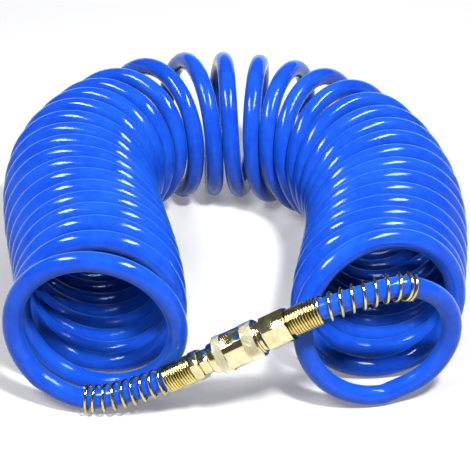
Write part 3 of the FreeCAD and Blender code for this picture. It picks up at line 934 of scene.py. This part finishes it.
@dataclass
class Blank:
    """A piece on the bench, worked upright on the Z axis."""
    piece: bpy.types.Object

    def take(self) -> None:
        """Selects the piece alone and makes it the active one."""
        clear_selection()
        bpy.context.view_layer.objects.active = self.piece
        self.piece.select_set(True)

    @classmethod
    def turned(cls, name: str, profile: Iterable[Pair], sides: int = 96) -> "Blank":
        """Turns a closed hollow piece.

        Args:
            name: of the piece.
            profile: (radius, height) corners round the wall, in order.
            sides: facets round the axis.

        Returns:
            The blank.
        """
        corners = list(profile)
        clear_selection()
        radius, height = corners[0]
        bpy.ops.mesh.primitive_circle_add(vertices=sides, radius=radius, location=(0.0, 0.0, height))
        piece = bpy.context.active_object
        piece.name = name
        piece.data.name = name
        bpy.ops.object.transform_apply(location=True, rotation=True, scale=True)
        bpy.ops.object.mode_set(mode="EDIT")
        bpy.ops.mesh.select_mode(type="VERT")
        bpy.ops.mesh.select_all(action="SELECT")
        for (before, low), (after, high) in zip(corners, corners[1:] + corners[:1]):
            bpy.ops.mesh.extrude_region_move(TRANSFORM_OT_translate={"value": (0.0, 0.0, high - low)})
            size = after / before
            bpy.ops.transform.resize(value=(size, size, 1.0), center_override=(0.0, 0.0, high))
        bpy.ops.mesh.select_all(action="SELECT")
        bpy.ops.mesh.remove_doubles(threshold=MERGE_DISTANCE)
        bpy.ops.mesh.normals_make_consistent(inside=False)
        bpy.ops.object.mode_set(mode="OBJECT")
        return cls(piece)

    @classmethod
    def prism(cls, name: str, across: float, start: float, end: float) -> "Blank":
        """Makes a solid six-sided prism with a corner on the X axis.

        Args:
            name: of the piece.
            across: width across flats.
            start: height of its lower face.
            end: height of its upper face.

        Returns:
            The blank.
        """
        clear_selection()
        radius = across / 2 / math.cos(math.pi / 6)
        bpy.ops.mesh.primitive_cylinder_add(vertices=6, radius=radius, depth=end - start,
                                            location=(0.0, 0.0, (start + end) / 2))
        piece = bpy.context.active_object
        piece.name = name
        bpy.ops.object.transform_apply(location=True, rotation=True, scale=True)
        # The primitive's first corner lies elsewhere, so the corner nearest to the X axis is turned onto it
        corner = min((vertex.co for vertex in piece.data.vertices),
                     key=lambda place: (round(place.z, 5), abs(math.atan2(place.y, place.x))))
        piece.data.transform(Matrix.Rotation(-math.atan2(corner.y, corner.x), 4, "Z"))
        return cls(piece)

    def combine(self, tool: "Blank", operation: str) -> None:
        """Cuts, joins or intersects the piece with another blank, which is used up.

        Args:
            tool: the other blank.
            operation: DIFFERENCE, UNION or INTERSECT.
        """
        self.take()
        cut = self.piece.modifiers.new("cut", "BOOLEAN")
        cut.operation = operation
        cut.solver = "EXACT"
        cut.object = tool.piece
        bpy.ops.object.modifier_apply(modifier=cut.name)
        mesh = tool.piece.data
        bpy.data.objects.remove(tool.piece)
        bpy.data.meshes.remove(mesh)

    def flatten(self, across: float, start: float, end: float, count: int, first: float) -> None:
        """Mills flats into the outside between two heights.

        Args:
            across: width across the flats.
            start: lower height.
            end: upper height.
            count: how many flats there are.
            first: angle of the first flat's middle, in degrees.
        """
        for number in range(count):
            angle = math.radians(first + 360.0 / count * number)
            away = Vector((math.cos(angle), math.sin(angle), 0.0))
            self.take()
            bpy.ops.object.mode_set(mode="EDIT")
            bpy.ops.mesh.select_all(action="DESELECT")
            edit = bmesh.from_edit_mesh(self.piece.data)
            for vertex in edit.verts:
                inside = start - MERGE_DISTANCE < vertex.co.z < end + MERGE_DISTANCE
                vertex.select = inside and vertex.co.dot(away) > across / 2
            edit.select_flush(True)
            bmesh.update_edit_mesh(self.piece.data)
            turned = Matrix.Rotation(angle, 3, "Z")
            bpy.ops.transform.resize(value=(0.0, 1.0, 1.0), orient_type="GLOBAL", orient_matrix=turned,
                                     orient_matrix_type="GLOBAL", constraint_axis=(True, False, False),
                                     center_override=tuple(away * (across / 2)))
            bpy.ops.object.mode_set(mode="OBJECT")

    def soften(self, width: float) -> None:
        """Breaks the sharp edges and shades the rest smooth.

        Args:
            width: of the broken edge.
        """
        self.take()
        bevel = self.piece.modifiers.new("broken_edges", "BEVEL")
        bevel.width = width
        bevel.segments = BREAK_FACETS
        bevel.limit_method = "ANGLE"
        bevel.angle_limit = BREAK_ANGLE
        bpy.ops.object.modifier_apply(modifier=bevel.name)
        bpy.ops.object.shade_smooth_by_angle(angle=SMOOTH_ANGLE)

    def finish(self, seat: CouplingSeat, finish: Finish, body: Body, node: str) -> bpy.types.Object:
        """Lays the piece in the coupling's place and hands it over.

        Args:
            seat: the coupling's place.
            finish: what the piece is dressed in.
            body: what it rides on.
            node: the CAD node that it stands for.

        Returns:
            The finished piece.
        """
        self.piece.data.transform(seat.matrix())
        finish.dress(self.piece)
        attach(self.piece, body.value)
        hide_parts(node)
        return self.piece


@dataclass(frozen=True)
class Hexagon:
    """Hexagon with turned chamfers at both ends, broken edges and a bore, between two heights."""
    name: str
    across: float
    start: float
    end: float
    bore: float
    chamfer: float = 0.9 * MM
    slope: float = math.tan(math.radians(30.0))
    spare: float = 0.5 * MM
    broken_edge: float = 0.22 * MM

    def blank(self) -> Blank:
        """Turns the chamfers on a round blank that is a little too large, and mills the six flats.

        Returns:
            The blank.
        """
        corner = self.across / math.sqrt(3)
        rim = corner - self.chamfer
        outer = corner + self.spare
        rise = (outer - rim) * self.slope
        blank = Blank.turned(self.name, ((self.bore, self.start), (rim, self.start),
                                         (outer, self.start + rise), (outer, self.end - rise),
                                         (rim, self.end), (self.bore, self.end)))
        blank.combine(Blank.prism("flats", self.across, self.start - MM, self.end + MM), "INTERSECT")
        blank.soften(self.broken_edge)
        return blank


@dataclass(frozen=True)
class Knurl:
    """Band of raised diamonds, a closed ring between two heights."""
    name: str
    start: float
    end: float
    outer: float
    wall: float = 0.8 * MM
    depth: float = 0.3 * MM
    count: int = 56

    def cells(self, edit: bmesh.types.BMesh) -> list[bmesh.types.BMFace]:
        """Finds the faces of the band's outside.

        Args:
            edit: the ring's mesh.

        Returns:
            The faces, one for each cell.
        """
        between = self.outer - (self.wall + self.depth) / 2
        found = []
        for face in edit.faces:
            middle = face.calc_center_median()
            upright = abs(face.normal.z) < 0.5 and self.start < middle.z < self.end
            if upright and middle.xy.length > between:
                found.append(face)
        return found

    def blank(self) -> Blank:
        """Turns the ring and raises its diamonds.

        Returns:
            The blank.
        """
        valley = self.outer - self.depth
        rows = max(2, round((self.end - self.start) / (2 * math.pi * valley / self.count)))
        heights = [self.start + (self.end - self.start) * row / rows for row in range(rows + 1)]
        inner = self.outer - self.wall
        profile = [(inner, self.start)] + [(valley, height) for height in heights] + [(inner, self.end)]
        blank = Blank.turned(self.name, profile, self.count)
        bpy.ops.object.mode_set(mode="EDIT")
        edit = bmesh.from_edit_mesh(blank.piece.data)
        cells = self.cells(edit)
        shared = [edge for edge in edit.edges if all(face in cells for face in edge.link_faces)]
        # Cells that are split from their centres and then lose their shared edges leave diamonds
        centres = set(bmesh.ops.poke(edit, faces=cells)["verts"])
        bmesh.ops.dissolve_edges(edit, edges=shared)
        diamonds = [face for face in edit.faces if len(face.verts) == 4
                    and sum(vertex in centres for vertex in face.verts) == 2]
        for vertex in bmesh.ops.poke(edit, faces=diamonds)["verts"]:
            away = Vector((vertex.co.x, vertex.co.y, 0.0)).normalized()
            vertex.co = away * self.outer + Vector((0.0, 0.0, vertex.co.z))
        bmesh.update_edit_mesh(blank.piece.data)
        bpy.ops.object.mode_set(mode="OBJECT")
        return blank


@dataclass(frozen=True)
class Plug:
    """The nut and the plug, which show as two hexagons. The stem and the waterway are radii."""
    nut_across: float = 17.0 * MM
    nut_end: float = 5.5 * MM
    body_across: float = 14.0 * MM
    body_end: float = 11.2 * MM
    stem: float = 5.0 * MM
    waterway: float = 2.75 * MM

    def build(self, seat: CouplingSeat) -> list[bpy.types.Object]:
        """Makes the nut and the plug.

        Args:
            seat: the coupling's place.

        Returns:
            The two pieces.
        """
        nut = Hexagon("hexagon_nut", self.nut_across, 0.0, self.nut_end, self.stem)
        body = Hexagon("plug_hexagon", self.body_across, self.nut_end, self.body_end, self.waterway)
        return [nut.blank().finish(seat, PLATING, Body.HOSE, "plug_nut"),
                body.blank().finish(seat, PLATING, Body.HOSE, "plug_body")]


@dataclass(frozen=True)
class Sleeve:
    """The sleeve: a knurled band at each end, flats between them, and steps inside.

    Starts and ends are heights. Inside, the recess in front, the land that holds the balls in and the
    spring's chamber behind it are radii.
    """
    start: float = 16.55 * MM
    end: float = 43.15 * MM
    outer: float = 11.5 * MM
    chamfer: float = 0.7 * MM
    broken_edge: float = 0.12 * MM
    front_recess: float = 10.2 * MM
    land: float = 9.15 * MM
    land_start: float = 18.8 * MM
    land_end: float = 24.6 * MM
    chamber: float = 9.8 * MM
    front_band: float = 6.2 * MM
    rear_band: float = 8.2 * MM
    band_rim: float = 0.5 * MM
    flats_across: float = 21.4 * MM
    flat_count: int = 6
    first_flat: float = 30.0
    sides: int = 144

    def build(self, seat: CouplingSeat) -> bpy.types.Object:
        """Turns the sleeve, mills its flats and sets the knurls into its two bands.

        Args:
            seat: the coupling's place.

        Returns:
            The sleeve.
        """
        rim = self.outer - self.chamfer
        under = self.outer - self.band_rim
        front_start = self.start + self.chamfer
        flats_start = self.start + self.front_band
        front_end = flats_start - self.band_rim
        flats_end = self.end - self.rear_band
        rear_start = flats_end + self.band_rim
        rear_end = self.end - self.chamfer
        profile = ((self.front_recess, self.start), (rim, self.start), (self.outer, front_start),
                   (under, front_start), (under, front_end), (self.outer, front_end),
                   (self.outer, flats_start), (self.outer, flats_end),
                   (self.outer, rear_start), (under, rear_start), (under, rear_end),
                   (self.outer, rear_end), (rim, self.end), (self.chamber, self.end),
                   (self.chamber, self.land_end), (self.land, self.land_end),
                   (self.land, self.land_start), (self.front_recess, self.land_start))
        blank = Blank.turned("coupling_sleeve", profile, self.sides)
        blank.flatten(self.flats_across, flats_start, flats_end, self.flat_count, self.first_flat)
        blank.soften(self.broken_edge)
        plain = len(blank.piece.data.polygons)
        bands = [Knurl("front_knurl", front_start, front_end, self.outer).blank(),
                 Knurl("rear_knurl", rear_start, rear_end, self.outer).blank()]
        blank.take()
        for band in bands:
            band.piece.select_set(True)
        bpy.ops.object.join()
        sleeve = blank.finish(seat, PLATING, Body.SLEEVE, "sleeve")
        # The knurled bands take the paler copy of the plating, which is painted light
        sleeve.data.materials.append(KNURLED_PAINTED_LIGHT.material())
        for polygon in sleeve.data.polygons[plain:]:
            polygon.material_index = 1
        return sleeve


@dataclass(frozen=True)
class Socket:
    """The socket's body and its rear body, which shows as the large hexagon.

    Starts and ends are heights. The nose, barrel, flange and neck are radii from front to back, and so are
    the bores.
    """
    start: float = 11.25 * MM
    nose: float = 9.1 * MM
    nose_round: float = 1.9 * MM
    nose_facets: int = 6
    nose_end: float = 24.6 * MM
    barrel: float = 8.3 * MM
    flange: float = 9.7 * MM
    flange_start: float = 42.55 * MM
    flange_end: float = 44.15 * MM
    neck: float = 8.5 * MM
    neck_end: float = 45.95 * MM
    plug_bore: float = 6.05 * MM
    thread_bore: float = 6.8 * MM
    thread_start: float = 38.4 * MM
    broken_edge: float = 0.15 * MM
    rear_across: float = 19.0 * MM
    rear_start: float = 47.35 * MM
    rear_end: float = 62.55 * MM
    waterway: float = 2.75 * MM

    def build(self, seat: CouplingSeat) -> list[bpy.types.Object]:
        """Makes the socket's body and the rear body.

        Args:
            seat: the coupling's place.

        Returns:
            The two pieces.
        """
        profile = [(self.plug_bore, self.start)]
        for step in range(self.nose_facets + 1):
            angle = math.pi / 2 * step / self.nose_facets
            profile.append((self.nose - self.nose_round * (1 - math.sin(angle)),
                            self.start + self.nose_round * (1 - math.cos(angle))))
        profile += [(self.nose, self.nose_end), (self.barrel, self.nose_end),
                    (self.barrel, self.flange_start), (self.flange, self.flange_start),
                    (self.flange, self.flange_end), (self.neck, self.flange_end),
                    (self.neck, self.neck_end), (self.thread_bore, self.neck_end),
                    (self.thread_bore, self.thread_start), (self.plug_bore, self.thread_start)]
        body = Blank.turned("socket_nose_and_flange", profile)
        body.soften(self.broken_edge)
        rear = Hexagon("rear_hexagon", self.rear_across, self.rear_start, self.rear_end, self.waterway)
        return [body.finish(seat, PLATING, Body.HOSE, "socket_body"),
                rear.blank().finish(seat, PLATING, Body.HOSE, "socket_rear_body")]


@dataclass(frozen=True)
class QuickCoupling:
    """Plug, sleeve and socket in the coupling's place, and the two springs inside."""
    seat: CouplingSeat
    plug: Plug = Plug()
    sleeve: Sleeve = Sleeve()
    socket: Socket = Socket()
    springs: tuple[CompressionSpring, ...] = (
        CompressionSpring("sleeve_return_spring", "sleeve_spring", Body.SLIDER, "sleeve_slide",
                          held=24.9 * MM, free=42.25 * MM, travel=3.9 * MM, radius=9.05 * MM, wire=1.0 * MM),
        CompressionSpring("valve_return_spring", "valve_spring", Body.HOSE, "valve_slide",
                          held=49.95 * MM, free=36.7 * MM, travel=1.6 * MM, radius=3.6 * MM, wire=0.8 * MM),
    )

    def build(self) -> list[bpy.types.Object]:
        """Makes every piece of the coupling.

        Returns:
            The pieces, from the plug's nut to the springs.
        """
        pieces = self.plug.build(self.seat) + [self.sleeve.build(self.seat)] + self.socket.build(self.seat)
        return pieces + [spring.build(self.seat) for spring in self.springs]


def dress_carried_over() -> None:
    """Gives the CAD nodes that stay in the scene their finishes."""
    for name, finish in CARRIED_OVER.items():
        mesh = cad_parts[name].data
        mesh.materials.clear()
        mesh.materials.append(finish.material())


def main() -> None:
    """Builds the scene, piece by piece."""
    logging.basicConfig(level=logging.INFO, format="%(name)s: %(message)s")
    PhotoCamera().build()
    Studio().build()
    coupling = QuickCoupling(SEAT)
    maker = CoiledHose(SEAT, coupling.socket.rear_end)
    hose, line = maker.build()
    guards = [SpringGuard("plug_guard_wire", "plug_spring_guard", line, 6.2 * MM).build(),
              SpringGuard("socket_guard_wire", "socket_spring_guard", line[::-1], 6.5 * MM).build()]
    maker.declare()
    for piece in [hose] + guards + coupling.build():
        LOG.info("%s is in place", piece.name)
    dress_carried_over()


if __name__ == "__main__":
    main()
